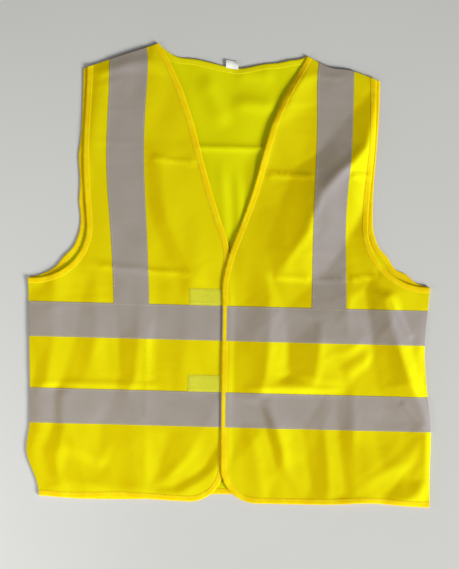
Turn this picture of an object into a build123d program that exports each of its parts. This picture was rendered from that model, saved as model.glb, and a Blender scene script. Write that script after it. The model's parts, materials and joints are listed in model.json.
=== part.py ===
"""High visibility vest, laid flat on its back with its front upwards.

Frame: +X towards the wearer's left side, +Y towards the shoulders, +Z up off the surface it lies on.
The origin is under the middle of the vest, on that surface. All lengths are in millimetres.
Outlines are drawn with Y measured from the hem, and export() moves every piece to the origin.

The garment is three cut panels (a back and two fronts), sewn at the sides and shoulders. Each front is cut
here at its fold line, because the flap inside that line turns over when the vest is opened. Folded tape binds
every raw edge. Two reflective bands run round the body and one reflective tape runs over each shoulder.
"""
import os

from build123d import *

# Body of the vest, from the hem upwards
LENGTH = 657.0            # hem to the neck point, the highest point of the shoulder
HEM_HALF = 281.0          # half width at the hem
CHEST_HALF = 289.0        # half width at the underarm
UNDERARM_Y = 316.0
SHOULDER_X = 213.0        # outer end of the shoulder line
SHOULDER_DROP = 39.0      # how far the shoulder falls from the neck point to its outer end
NECK_HALF = 108.0
NECK_DEPTH = 30.0         # how far the back neckline dips below the neck points
V_Y = 350.0               # height at which both neckline edges would reach the centre line

# Front edges: the left front lies over the right
LEFT_EDGE_X = -12.0
RIGHT_EDGE_X = -6.0
V_FILLET = 140.0          # bend from the neckline into the straight front edge
HEM_CORNER = 50.0         # rounded lower corner of each front

# Armholes: each is a line down from the shoulder and one arc out to the underarm
BACK_ARM_X, BACK_ARM_Y = 211.0, 408.0      # where the back's line becomes the arc
FRONT_ARM_X, FRONT_ARM_Y = 202.0, 400.0    # the fronts are cut deeper than the back
FRONT_SHOULDER_CUT = 6.0                   # and end this much shorter along the shoulder

# Cloth and trims
CLOTH_T = 0.5
TAPE_T = 0.4              # reflective tape
TAPE_W = 50.0
BIND_T = 0.4              # one fold of the edge binding
BIND_W = 10.0             # finished width of the binding on each face
SEAM_W = 3.0              # overlocked seam allowance
SEAM_CLEAR = 3.0          # an allowance stops this short of a binding
UPPER_BAND_Y = 232.0      # lower edge of each band
LOWER_BAND_Y = 108.0
TAPE_FOOT_X = 117.0       # inner edge of each shoulder tape where it leaves the upper band
TAPE_HEAD_X = 126.0       # and at the height of the neck point, a little further out

# Hook and loop closures, one pair standing on each band
LOOP_W, HOOK_W, PATCH_H = 47.0, 25.0, 24.0
PATCH_T = 1.2
PATCH_CLEAR = 1.0         # a patch stays this far from the left front's binding

# Neck label
LABEL_W, LABEL_H, LABEL_T = 18.0, 9.0, 0.4

# Heights of the undersides of the panels above the surface
BACK_Z = TAPE_T
RIGHT_Z = 6.5
LEFT_Z = 9.0

FOLD_X = 92.0             # each front turns over about this line when it opens
FOLD_GAP = 0.1            # clearance on each side of it
LABEL_GAP = 0.9           # label root to the outside of the neck binding
SMALL = 0.01
FAR = 1000.0

SHOULDER_Y = LENGTH - SHOULDER_DROP
NECK_POINT = (NECK_HALF, LENGTH)
UNDERARM = (CHEST_HALF, UNDERARM_Y)


# ---------------------------------------------------------------- outlines
def shoulder_point(cut=0.0):
    """A point on the shoulder line, cut short of its outer end along X."""
    slope = SHOULDER_DROP / (SHOULDER_X - NECK_HALF)
    return (SHOULDER_X - cut, SHOULDER_Y + cut * slope)


def armhole(arm_x, arm_y, cut):
    """The armhole edge on the +X side, from the shoulder to the underarm."""
    straight = Line(shoulder_point(cut), (arm_x, arm_y))
    return [straight, TangentArc(straight @ 1, UNDERARM, tangent=straight % 1)]


def neckline():
    """The back neckline from the +X neck point to the other."""
    return ThreePointArc(NECK_POINT, (0, LENGTH - NECK_DEPTH), (-NECK_HALF, LENGTH))


def front_edge(edge_x):
    """The bound edge of the +X front: neck point, V neckline, front edge, rounded corner, hem to the side."""
    lean = (LENGTH - V_Y) / NECK_HALF
    turn = (edge_x, V_Y + edge_x * lean)
    neck_to_corner = FilletPolyline(NECK_POINT, turn, (edge_x, HEM_CORNER), radius=V_FILLET)
    corner = TangentArc((edge_x, HEM_CORNER), (edge_x + HEM_CORNER, 0), tangent=(0, -1))
    return [*neck_to_corner.edges(), corner, Line((edge_x + HEM_CORNER, 0), (HEM_HALF, 0))]


def back_outline():
    half = [Line((HEM_HALF, 0), UNDERARM), *armhole(BACK_ARM_X, BACK_ARM_Y, 0)]
    half.append(Line(shoulder_point(), NECK_POINT))
    other = [edge.mirror(Plane.YZ) for edge in half]
    hem = Line((-HEM_HALF, 0), (HEM_HALF, 0))
    return make_face(Curve() + half + other + [hem, neckline()])


def front_outline(edge_x):
    """Outline of the +X front panel, whose free edge is at edge_x."""
    side = Line((HEM_HALF, 0), UNDERARM)
    shoulder = Line(shoulder_point(FRONT_SHOULDER_CUT), NECK_POINT)
    rest = [side, *armhole(FRONT_ARM_X, FRONT_ARM_Y, FRONT_SHOULDER_CUT), shoulder]
    return make_face(Curve() + front_edge(edge_x) + rest)


def mirrored(shape):
    return shape.mirror(Plane.YZ)


# ---------------------------------------------------------------- solids
def slab(region, low, high):
    """The plan region as a solid between two heights."""
    return extrude(Pos(0, 0, low) * region, high - low)


def window(x0, x1, y0=-FAR, y1=FAR):
    """A plan rectangle that cuts a region to a range."""
    return Pos((x0 + x1) / 2, (y0 + y1) / 2) * Rectangle(x1 - x0, y1 - y0)


def extended(path):
    """The path with a straight run added at each end, so that a strip along it reaches past the panel."""
    wire = Wire(path)
    run = 2 * BIND_W
    start, end = wire @ 0, wire @ 1
    before = Line(start - (wire % 0) * run, start)
    after = Line(end, end + (wire % 1) * run)
    return [before, *path, after]


def band_along(path, half_width):
    """Plan region within half_width of the path on both sides."""
    return Sketch() + trace(path, 2 * half_width).faces()


def binding_region(path, panel):
    """Plan of the binding along path: a strip on the panel and a thin lip outside its edge."""
    on_panel = band_along(extended(path), BIND_W) & panel
    return on_panel + (band_along(path, BIND_T) - panel)


def binding(region, panel, z):
    """Tape folded round the edge of the panel whose underside is at z: a channel with the cloth in its slot."""
    folded = slab(region, z - BIND_T, z + CLOTH_T + BIND_T)
    return folded - slab(panel, z, z + CLOTH_T)


def wrapped(region, panel, low, high):
    """Tape that passes round the outside of the panels, under the back at low and over the front at high."""
    outside = offset(panel, TAPE_T, kind=Kind.INTERSECTION)
    return slab(region & outside, low, high) - slab(panel, low + TAPE_T, high - TAPE_T)


def export(name, shape):
    """Writes one node as its separate solids, moved so that the origin is under the middle of the vest."""
    placed = Pos(0, -LENGTH / 2, 0) * shape
    export_step(Compound(children=placed.solids()), f"parts/{name}.step")


# ---------------------------------------------------------------- the vest
BACK = back_outline()
LEFT = front_outline(LEFT_EDGE_X)
RIGHT = mirrored(front_outline(-RIGHT_EDGE_X))
INNER = window(-FOLD_X + FOLD_GAP, FOLD_X - FOLD_GAP)       # both flaps
OUTER = window(-FAR, FAR) - window(-FOLD_X - FOLD_GAP, FOLD_X + FOLD_GAP)
SIDES = {"left": (1, LEFT, LEFT_Z), "right": (-1, RIGHT, RIGHT_Z)}
BANDS = {"upper": UPPER_BAND_Y, "lower": LOWER_BAND_Y}


def half_of(side):
    """Plan window over one half of the vest."""
    return window(0, FAR) if side > 0 else window(-FAR, 0)


def front_path(side):
    """The bound edge of one front, from its neck point round to the side seam."""
    if side > 0:
        return front_edge(LEFT_EDGE_X)
    return [mirrored(edge) for edge in front_edge(-RIGHT_EDGE_X)]


def armhole_path(side, arm_x, arm_y, cut):
    path = armhole(arm_x, arm_y, cut)
    return path if side > 0 else [mirrored(edge) for edge in path]


def panels():
    export("back_panel", slab(BACK, BACK_Z, BACK_Z + CLOTH_T))
    for name, (_, panel, z) in SIDES.items():
        export(f"{name}_front_side", slab(panel & OUTER, z, z + CLOTH_T))
        export(f"{name}_front_flap", slab(panel & INNER, z, z + CLOTH_T))


def seams():
    """Overlocked allowances that hold each front to the back: one at the side and one on the shoulder."""
    slope = SHOULDER_DROP / (SHOULDER_X - NECK_HALF)
    inward = Vector(-slope, -1).normalized() * SEAM_W
    side_strip = BACK - Pos(-SEAM_W, 0) * BACK
    end = BIND_W + SEAM_CLEAR
    side_strip = side_strip & window(0, FAR, end, UNDERARM_Y - end)
    shoulder_strip = BACK - Pos(*inward) * BACK
    shoulder_x = (NECK_HALF + end, SHOULDER_X - FRONT_SHOULDER_CUT - end)
    shoulder_strip = shoulder_strip & window(*shoulder_x, SHOULDER_Y - SEAM_W, LENGTH)
    for name, (side, _, z) in SIDES.items():
        for place, strip in (("side", side_strip), ("shoulder", shoulder_strip)):
            strip = strip if side > 0 else mirrored(strip)
            export(f"{name}_{place}_seam", slab(strip, BACK_Z + CLOTH_T, z))


def bands():
    """Each band runs across the back and round both sides to the fold lines, and its ends are on the flaps."""
    for name, low_y in BANDS.items():
        strip = window(-FAR, FAR, low_y, low_y + TAPE_W)
        round_body = slab(strip & BACK, 0, TAPE_T)
        for front, (side, _, z) in SIDES.items():
            top = z + CLOTH_T + TAPE_T
            half = wrapped(strip & half_of(side), BACK, 0, top)
            round_body += half - slab(window(-FOLD_X - FOLD_GAP, FOLD_X + FOLD_GAP), TAPE_T, top)
            edge_x = {1: LEFT_EDGE_X + BIND_W, -1: RIGHT_EDGE_X - BIND_W}[side]
            on_flap = window(*sorted((edge_x, side * (FOLD_X - FOLD_GAP))), low_y, low_y + TAPE_W)
            export(f"{front}_{name}_band_end", slab(on_flap, z + CLOTH_T, top))
        export(f"{name}_band", round_body)


def shoulder_tapes():
    """Each runs from the top of the upper band at the front, over the shoulder, to the same band at the back."""
    foot_y = UPPER_BAND_Y + TAPE_W
    inner = [(TAPE_HEAD_X, LENGTH), (TAPE_FOOT_X, foot_y)]
    outer = [(TAPE_FOOT_X + TAPE_W, foot_y), (TAPE_HEAD_X + TAPE_W, LENGTH)]
    strip = make_face(Polyline(*inner, *outer, close=True))
    for name, (side, _, z) in SIDES.items():
        region = strip if side > 0 else mirrored(strip)
        export(f"{name}_shoulder_tape", wrapped(region, BACK, 0, z + CLOTH_T + TAPE_T))


def armhole_bindings():
    """One closed loop a side: along the back, across the underarm, along the front and over the shoulder."""
    for name, (side, panel, z) in SIDES.items():
        back = binding_region(armhole_path(side, BACK_ARM_X, BACK_ARM_Y, 0), BACK)
        front_line = armhole_path(side, FRONT_ARM_X, FRONT_ARM_Y, FRONT_SHOULDER_CUT)
        front = binding_region(front_line, panel)
        near_shoulder = window(-FAR, FAR, SHOULDER_Y - BIND_W, LENGTH)
        underarm_x = sorted((side * (CHEST_HALF - BIND_W), side * FAR))
        ends = near_shoulder + window(*underarm_x, 0, UNDERARM_Y + BIND_W)
        joined = slab(front & back & ends, BACK_Z + CLOTH_T, z)
        loop = binding(back, BACK, BACK_Z) + binding(front, panel, z) + joined
        export(f"{name}_armhole_binding", loop)


def edge_bindings():
    """The neck and hem lengths stay on the body of the vest, and a front length goes with each flap."""
    neck_region = binding_region([neckline()], BACK)
    neck = binding(neck_region, BACK, BACK_Z)
    hem_strip = window(-FAR, FAR, -BIND_T, BIND_W) & (BACK + window(-HEM_HALF, HEM_HALF, -BIND_T, 0))
    hem = binding(hem_strip, BACK, BACK_Z)
    for name, (side, panel, z) in SIDES.items():
        region = binding_region(front_path(side), panel)
        export(f"{name}_front_binding", binding(region & INNER, panel, z))
        outer = region & OUTER
        high = window(-FAR, FAR, UNDERARM_Y, FAR)
        neck += binding(outer & high, panel, z)
        neck += slab(outer & high & neck_region, BACK_Z + CLOTH_T, z)
        hem += binding(outer & window(-FAR, FAR, -BIND_W, UNDERARM_Y), panel, z)
        side_x = sorted((side * (HEM_HALF - SEAM_W), side * FAR))
        hem += slab(hem_strip & window(*side_x), BACK_Z + CLOTH_T, z)
    export("neck_binding", neck)
    export("hem_binding", hem)


def closures():
    """Loop patches face up on the right front. Hook patches face down under the left front."""
    loop_x = LEFT_EDGE_X - PATCH_CLEAR - LOOP_W
    hook_x = LEFT_EDGE_X + BIND_W + PATCH_CLEAR
    right_edge = binding_region(front_path(-1), RIGHT)
    for name, low_y in BANDS.items():
        y0 = low_y + TAPE_W
        z = RIGHT_Z + CLOTH_T
        loop = slab(window(loop_x, loop_x + LOOP_W, y0, y0 + PATCH_H), z, z + PATCH_T)
        export(f"{name}_loop_patch", loop - slab(right_edge, z - SMALL, z + BIND_T))
        hook = window(hook_x, hook_x + HOOK_W, y0, y0 + PATCH_H)
        export(f"{name}_hook_patch", slab(hook, LEFT_Z - PATCH_T, LEFT_Z))


def label():
    """Folded label sewn at the middle of the back neck, standing out past the edge."""
    y0 = LENGTH - NECK_DEPTH + BIND_T + LABEL_GAP
    z0 = BACK_Z + (CLOTH_T - LABEL_T) / 2
    export("neck_label", slab(window(-LABEL_W / 2, LABEL_W / 2, y0, y0 + LABEL_H), z0, z0 + LABEL_T))


os.makedirs("parts", exist_ok=True)
panels()
seams()
bands()
shoulder_tapes()
armhole_bindings()
edge_bindings()
closures()
label()
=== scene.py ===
"""Looks of the high visibility vest: cloth, tapes, bindings, patches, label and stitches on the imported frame.

Each panel is triangulated from the outline of its CAD nodes in flat coordinates. It is then laid out: pulled
a little out of shape in plan, as cloth laid down by hand is, and raised in facets, folds and creases.
Everything sewn to a panel is placed on it by its flat coordinates.
Lengths are in metres. Named sizes are written in millimetres times MM.
"""
import json
import math

import bpy
import numpy as np
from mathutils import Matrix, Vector
from mathutils.bvhtree import BVHTree
from mathutils.geometry import delaunay_2d_cdt
from mathutils.kdtree import KDTree


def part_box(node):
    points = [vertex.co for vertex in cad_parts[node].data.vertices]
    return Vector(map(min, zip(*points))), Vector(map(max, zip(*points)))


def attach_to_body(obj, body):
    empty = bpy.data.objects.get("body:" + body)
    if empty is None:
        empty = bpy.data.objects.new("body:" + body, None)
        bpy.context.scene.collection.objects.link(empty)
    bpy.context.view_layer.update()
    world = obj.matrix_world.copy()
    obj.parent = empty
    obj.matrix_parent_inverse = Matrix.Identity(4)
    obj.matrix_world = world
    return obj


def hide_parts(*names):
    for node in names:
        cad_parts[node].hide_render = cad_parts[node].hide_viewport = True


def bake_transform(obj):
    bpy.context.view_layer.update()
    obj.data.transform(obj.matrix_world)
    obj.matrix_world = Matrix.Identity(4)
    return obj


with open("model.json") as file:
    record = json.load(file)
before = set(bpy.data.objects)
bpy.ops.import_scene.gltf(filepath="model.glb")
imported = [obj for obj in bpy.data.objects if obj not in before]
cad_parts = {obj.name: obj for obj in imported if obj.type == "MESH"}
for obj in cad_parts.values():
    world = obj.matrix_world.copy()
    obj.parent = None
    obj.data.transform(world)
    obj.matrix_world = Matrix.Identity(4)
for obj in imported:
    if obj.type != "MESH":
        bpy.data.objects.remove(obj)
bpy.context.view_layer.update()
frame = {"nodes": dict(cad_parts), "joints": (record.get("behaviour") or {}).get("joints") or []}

MM = 0.001

# ------------------------------------------------------------------ sizes
STEP = 4.0 * MM              # spacing of the cloth mesh
SETTLED_SHARE = 0.2          # how much of the cloth simulation's movement is kept
FREE_IN = 30 * MM            # and how far inside a front's free edges all of that share counts
SWELL = 0.004                # how much the cloth grows while it settles, so that it buckles
SETTLE_FRAMES = 18
CLOTH_T = 0.5 * MM
TAPE_T = 0.35 * MM
BIND_W = 8.0 * MM            # binding: width on each face, and thickness
BIND_T = 0.3 * MM
BIND_STEP = 2.5 * MM         # spacing of points along a binding
SEAM_IN = 1.6 * MM           # stitch line inside the edge of a tape
FOLD_X = abs(frame["joints"][0]["pos_m"][0])
SURFACE_GAP = 0.04 * MM      # clearance between two layers sewn together
BACK_GAP = 1.3 * MM          # least height of a front above the back
ARM_GAP = 0.9 * MM           # added to it at the armhole, within about ARM_REACH
ARM_REACH = 14 * MM
OVERLAP_GAP = 2.2 * MM       # least height of the left front above the right one where they overlap
OVERLAP_REACH = 16 * MM      # distance over which it comes down again beyond the right front's edge
PIN_REACH = 9 * MM           # distance from a seam over which the settling cloth is held
ROLL_IN = 1.5 * MM           # how far a turned seam's rounded edge reaches in over the panels
ROLL_OUT = 0.5 * MM          # and out beyond them
ALLOWANCE = 6.0 * MM         # width of cloth turned in at a seam
ALLOWANCE_T = 0.8 * MM
SEAM_PROUD = 0.02 * MM       # how far its rounded edge stands off the panels
PILE_STEP = 0.8 * MM         # spacing of the tufts of the closures
PILE_MARGIN = 1.4 * MM
LABEL_T = 0.14 * MM
LABEL_CAUGHT = 3.5 * MM      # length of its ends inside the binding
STITCH_PITCH = 3.2 * MM
STITCH_L = 2.5 * MM
STITCH_W = 0.45 * MM
STITCH_SIDES = 5
ROW_STEP = 2 * MM            # spacing of points along a row of stitches
ROW_CLEAR = 1.2 * MM         # rows on tapes stop this far inside the panel
PATCH_SEAM_IN = 1.1 * MM     # stitch line inside the edge of a patch
WALE = 0.9 * MM              # spacing of the knit's ribs
KEY_DIRECTION = Vector((0.76, -0.50, 0.41)).normalized()      # towards the key light
VIEW_HEIGHT = 0.819          # metres of floor from the bottom of the picture to its top


# ------------------------------------------------------------------ outlines from the frame
def plan_edges(node):
    """Boundary edges, in plan, of the top face of a CAD node."""
    mesh = frame["nodes"][node].data
    top = max(v.co.z for v in mesh.vertices)
    count = {}
    for poly in mesh.polygons:
        points = [mesh.vertices[i].co for i in poly.vertices]
        if min(p.z for p in points) < top - 1e-6:
            continue
        keys = [(round(p.x, 5), round(p.y, 5)) for p in points]
        for a, b in zip(keys, keys[1:] + keys[:1]):
            edge = (min(a, b), max(a, b))
            count[edge] = count.get(edge, 0) + 1
    return [edge for edge, times in count.items() if times == 1]


def joined_at_fold(edges):
    """The edges without the cut at a fold line. The points on each side of the cut are made one."""
    met = []

    def snap(point):
        if abs(abs(point[0]) - FOLD_X) > 0.2 * MM:
            return point
        for other in met:
            if math.dist(other, point) < 1.5 * MM:
                return other
        met.append((math.copysign(FOLD_X, point[0]), point[1]))
        return met[-1]

    snapped = [(snap(a), snap(b)) for a, b in edges]
    return [(a, b) for a, b in snapped if abs(a[0]) != FOLD_X or abs(b[0]) != FOLD_X]


def plan_loop(*nodes):
    """Outline of the nodes together. Where a front is cut at its fold line the two parts are joined again."""
    edges = [edge for node in nodes for edge in plan_edges(node)]
    if len(nodes) > 1:
        edges = joined_at_fold(edges)
    near = {}
    for a, b in edges:
        near.setdefault(a, []).append(b)
        near.setdefault(b, []).append(a)
    start = edges[0][0]
    loop, before = [start], None
    while len(loop) == 1 or loop[-1] != start:
        ahead = [p for p in near[loop[-1]] if p != before]
        before = loop[-1]
        loop.append(ahead[0])
    return np.array(loop[:-1])


def area(loop):
    """Signed area of an outline: positive if it runs anticlockwise."""
    x, y = loop.T
    return 0.5 * np.sum(x * np.roll(y, -1) - y * np.roll(x, -1))


def corners(loop, least=30):
    """Indices of the points where the outline turns sharply."""
    before = loop - np.roll(loop, 1, 0)
    after = np.roll(loop, -1, 0) - loop
    turn = np.arctan2(before[:, 0] * after[:, 1] - before[:, 1] * after[:, 0], (before * after).sum(1))
    return [i for i in range(len(loop)) if abs(turn[i]) > math.radians(least)]


def split_at(loop, first):
    """The outline as stretches between its corners, the first one starting at the corner nearest to first."""
    marks = corners(loop)
    start = min(range(len(marks)), key=lambda k: np.hypot(*(loop[marks[k]] - first)))
    marks = marks[start:] + marks[:start]
    stretches = []
    for a, b in zip(marks, marks[1:] + marks[:1]):
        end = b if b > a else b + len(loop)
        stretches.append(loop[np.arange(a, end + 1) % len(loop)])
    return stretches


def unit(vectors, least=1e-12):
    """Each row made one long."""
    return vectors / np.maximum(np.linalg.norm(vectors, axis=1, keepdims=True), least)


def smooth(share):
    """A share held between 0 and 1, with the corners of its rise rounded off."""
    share = np.clip(share, 0, 1)
    return share * share * (3 - 2 * share)


def run_along(path):
    """Distance from the start of a path to each of its points."""
    return np.concatenate([[0], np.cumsum(np.hypot(*np.diff(path, axis=0).T))])


def resample(points, step):
    """The polyline with its segments cut so that none is longer than step."""
    out = [points[0]]
    for a, b in zip(points[:-1], points[1:]):
        n = max(1, math.ceil(np.hypot(*(b - a)) / step))
        out += [a + (b - a) * k / n for k in range(1, n + 1)]
    return np.array(out)


def inside(loop, points):
    """True for each point within the closed loop."""
    result = np.zeros(len(points), bool)
    x, y = points.T
    for (x0, y0), (x1, y1) in zip(loop, np.roll(loop, -1, 0)):
        if y0 == y1:
            continue
        crosses = (y0 > y) != (y1 > y)
        result ^= crosses & (x < (x1 - x0) * (y - y0) / (y1 - y0) + x0)
    return result


def distance(path, points):
    """Shortest distance from each point to the open polyline."""
    best = np.full(len(points), np.inf)
    for a, b in zip(path[:-1], path[1:]):
        along = b - a
        t = np.clip(((points - a) @ along) / max(along @ along, 1e-12), 0, 1)
        best = np.minimum(best, np.hypot(*(points - a - t[:, None] * along).T))
    return best


# ------------------------------------------------------------------ the three panels in flat coordinates
def front_edges(side, name):
    """Outline of a front and its four stretches."""
    loop = plan_loop(f"{name}_front_side", f"{name}_front_flap")
    if area(loop) * side < 0:
        loop = loop[::-1]
    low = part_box(f"{name}_front_side")[0].y
    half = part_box("hem_binding")[1].x
    side_line, armhole, shoulder, front = split_at(loop, np.array((side * half, low)))
    return {"loop": loop, "side": side_line, "armhole": armhole, "shoulder": shoulder, "front": front}


def back_edges():
    """Outline of the back and its eight stretches."""
    loop = plan_loop("back_panel")
    if area(loop) < 0:
        loop = loop[::-1]
    hem_corner = np.array((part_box("hem_binding")[1].x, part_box("back_panel")[0].y))
    names = ("left_side", "left_armhole", "left_shoulder", "neck",
             "right_shoulder", "right_armhole", "right_side", "hem")
    edges = dict(zip(names, split_at(loop, hem_corner)))
    edges["loop"] = loop
    return edges


def tape_plan(name):
    """Corners of a shoulder tape on the front: inner foot, outer foot, outer head, inner head."""
    side = 1 if name == "left" else -1
    points = np.array([p for edge in plan_edges(f"{name}_shoulder_tape") for p in edge])
    points = points * (side, 1)
    foot = points[points[:, 1] < points[:, 1].min() + 1e-4]
    inner_foot, outer_foot = foot[foot[:, 0].argmin()], foot[foot[:, 0].argmax()]
    inner_head, outer_head = points[points[:, 1].argmax()], points[points[:, 0].argmax()]
    return [p * (side, 1) for p in (inner_foot, outer_foot, outer_head, inner_head)]


SIDES = {"left": 1, "right": -1}
EDGES = {"back": back_edges(), "left": front_edges(1, "left"), "right": front_edges(-1, "right")}
TAPES = {name: tape_plan(name) for name in SIDES}
BANDS = {name: (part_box(f"{name}_band")[0].y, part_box(f"{name}_band")[1].y) for name in ("upper", "lower")}
BACK_LEVEL = 0.5 * (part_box("back_panel")[0].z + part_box("back_panel")[1].z)


# ------------------------------------------------------------------ how the vest lies
# Pulls of the cloth in plan, in millimetres: centre x, y, radius, shift x, y
PULLS = (
    (-281, -328, 42, 11, 3),      # lower right corner of the wearer's side is tucked in
    (-282, -262, 30, -7, 0),
    (281, -328, 80, 9, 0),        # the other lower corner is drawn out
    (287, -95, 60, -6, 0),
    (287, -222, 50, 6, 0),
    (205, 100, 95, -7, 0),        # both armhole edges lie a little towards -X
    (-213, 130, 110, -5, 0),
    (112, 322, 62, 0, -13),       # the left neck point has slipped down
    (213, 290, 55, 0, -7),
    (45, 110, 70, 4, 0),          # the left front's V edge bends
    (140, 308, 22, 0, -6),        # the left shoulder drops steeply beside the neck
    (200, -328, 44, 0, 4),        # and the hem waves
)
LEAN = 0.0135                     # the hem has shifted towards +X under the shoulders
BACK_PULLS = (
    (6, -328, 95, 0, 12),         # the back's hem is drawn up between the fronts
    (224, 24, 13, 3, 3),          # its armhole edges ripple
    (254, 2, 12, 2, 4),
    (-210, 165, 22, -3, 0),
    (-209, 100, 18, -2, 0),
    (-232, 14, 14, -2, 3),
    (-44, 302, 26, 0, 2),         # so does its neckline
    (10, 298, 22, 0, -3),
    (52, 302, 24, 0, 3),
    (-86, 306, 20, 0, -6),
    (84, 312, 14, 0, 3),
)
FRONT_PULLS = {
    "left": (
        (30, -330, 120, 3, 0),
        (206, 170, 85, 4, 0),           # the armhole edge lies nearer to the back's
        (0, -40, 190, 2.6, 0),          # and the closing edge has moved over
    ),
    "right": (
        (-150, -328, 60, 0, 4),
        (-206, 170, 85, -4, 0),
        (0, -40, 190, 2.6, 0),
    ),
}
# How far the V edges are drawn sideways, as (y, shift), fading over V_REACH from the edge
V_REACH = 30
V_DRAW = {
    "left": (
        (-40, 0), (30, -6), (115, -7), (165, -9), (215, -11),
        (262, -9), (305, -4), (330, 0),
    ),
    "right": (
        (-40, 0), (0, 2), (30, 3), (65, 2), (115, 4),
        (165, 9), (215, 14), (262, 14), (305, 9), (330, 2),
    ),
}


def pulled(flat, pulls):
    """Flat points after all the pulls: each moves the cloth round its centre, less and less further out."""
    x, y = (flat / MM).T
    move = np.stack([-LEAN * y, 0 * y], 1)
    for cx, cy, radius, dx, dy in pulls:
        weight = np.exp(-((x - cx) / radius) ** 2 - ((y - cy) / radius) ** 2)
        move += weight[:, None] * (dx, dy)
    return flat + move * MM


def beside_line(p, start, end):
    """How far along a line each point lies, as a share of its length, and how far beside it."""
    start, end = np.array(start, float), np.array(end, float)
    along = end - start
    length = np.hypot(*along)
    along /= length
    return ((p - start) @ along) / length, (p - start) @ np.array((-along[1], along[0]))


def fold(p, start, end, width, height):
    """Height of a soft fold along a line, fading at both ends. All in millimetres."""
    t, across = beside_line(p, start, end)
    taper = smooth(np.minimum(t + 0.06, 1.06 - t) * 3.0)
    return height * np.exp(-(across / width) ** 2) * taper


def crease(p, start, end, width, height):
    """A pressed crease: a sharp ridge whose flanks fall away on both sides."""
    t, across = beside_line(p, start, end)
    taper = np.clip(np.minimum(t, 1 - t) * 12, 0, 1)
    return height * np.exp(-np.abs(across) / width) * taper


def ripples(p, seed, count, shortest, longest, spread):
    """Gentle irregular swell, in units of its own height: plane waves around one direction."""
    draw = np.random.default_rng(seed)
    total = np.zeros(len(p))
    power = 0.0
    for _ in range(count):
        wavelength = draw.uniform(shortest, longest)
        angle = draw.normal(0, spread)
        phase = draw.uniform(0, 2 * math.pi)
        direction = np.array((math.cos(angle), math.sin(angle)))
        size = wavelength / longest
        total += size * np.sin(2 * math.pi * (p @ direction) / wavelength + phase)
        power += size * size / 2
    return total / math.sqrt(power)


# Relief of the fronts as lines of (x, y, height) in millimetres: first the edges, then crests and valleys
LEFT_RELIEF = (
    ((289, -12, 2.2), (285, -170, 2.2), (281, -328, 2.2)),      # side seam
    ((215, -328, 3), (185, -328, 5.5), (140, -328, 4.5), (105, -328, 3), (50, -328, 4.5),
     (20, -320, 3.6)),
    ((-6, -285, 4.6), (-12, -170, 4.9), (-12, -20, 5), (-8, 30, 4.9)),      # closing edge
    ((20, 82, 3.6), (54, 150, 3.4), (74, 210, 4.6), (88, 250, 6), (100, 290, 5.8), (112, 326, 2.4)),
    ((213, 290, 2.4), (204, 150, 3), (202, 80, 3.6), (225, 20, 3.6)),      # armhole
    ((124, 305, 3.6), (124, 250, 3.2), (104, 175, 3.4)),
    ((172, 235, 3.6), (140, 196, 3.6), (121, 172, 3.6), (90, 152, 3.6), (71, 104, 3.8)),
    ((194, 190, 9), (172, 162, 11.6), (156, 146, 11.6), (133, 118, 11), (110, 67, 9.4),
     (91, 35, 8.6), (68, 4, 7)),
    ((208, 126, 3.2), (197, 92, 2.8), (172, 54, 2.6), (140, 8, 3.0)),
    ((208, 62, 4.4), (222, 24, 4.4)),
    ((60, -8, 5.8), (120, -9, 4.4), (180, -8, 4.2), (205, -4, 3.8)),      # crease across the chest
    ((10, 40, 4.6), (6, -100, 4.2), (5, -178, 4.2), (18, -215, 4)),      # beside the closures
    ((46, 34, 5.4), (52, 6, 6.8), (55, -20, 7.8), (56, -60, 8.6), (56, -102, 8.6),
     (50, -150, 7.8), (42, -178, 6.4)),
    ((78, -48, 6.2), (82, -100, 5.2), (84, -144, 4.6)),
    ((128, -24, 5.8), (128, -60, 7.8), (130, -92, 9.4), (124, -146, 8.6)),
    ((172, -24, 6), (168, -54, 8.4), (172, -84, 8.6)),
    ((197, -15, 4.2), (202, -60, 4.8), (208, -105, 4.8), (214, -165, 4.4), (242, -205, 3)),
    ((212, -10, 5.4), (222, -30, 9), (234, -62, 9.8), (246, -97, 9.8), (262, -150, 8.8),
     (280, -208, 4.6)),
    ((242, -22, 5), (266, -90, 4.8), (279, -150, 4)),
    ((184, -96, 7.8), (150, -112, 8.0)),      # puckers between the bands
    ((194, -104, 6.2), (158, -126, 6.6)),
    ((198, -118, 6.6), (172, -138, 6.8)),
    ((196, -134, 5.2), (170, -156, 5.4)),
    ((62, -158, 6.8), (120, -157, 7.2)),
    ((60, -172, 4.4), (140, -172, 3.6)),
    # sharp fold over the lower band
    ((44, -190, 4), (52, -215, 3.4), (62, -248, 3.4), (72, -284, 3.5)),
    ((56, -188, 7), (66, -216, 7.4), (76, -250, 6.2), (83, -280, 4.4)),
    ((34, -240, 5.8), (44, -298, 5.6)),
    ((106, -218, 3), (112, -262, 3), (118, -302, 3)),
    ((136, -212, 4.4), (141, -262, 5.4), (144, -304, 5.2)),
    ((155, -178, 3.6), (158, -235, 3.6), (168, -314, 4)),
    ((178, -170, 5.6), (179, -240, 5.6), (180, -318, 5)),      # upright packing crease
    ((208, -205, 3.6), (212, -240, 3.8)),
    ((268, -232, 3.6), (230, -236, 4)),
    ((256, -264, 4.6), (222, -279, 5.6), (188, -297, 5.2)),
    ((259, -271, 3.8), (240, -292, 3.4), (220, -316, 3.4)),
    ((276, -290, 3.8), (268, -306, 5.4), (250, -322, 5.4)),
)
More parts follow.
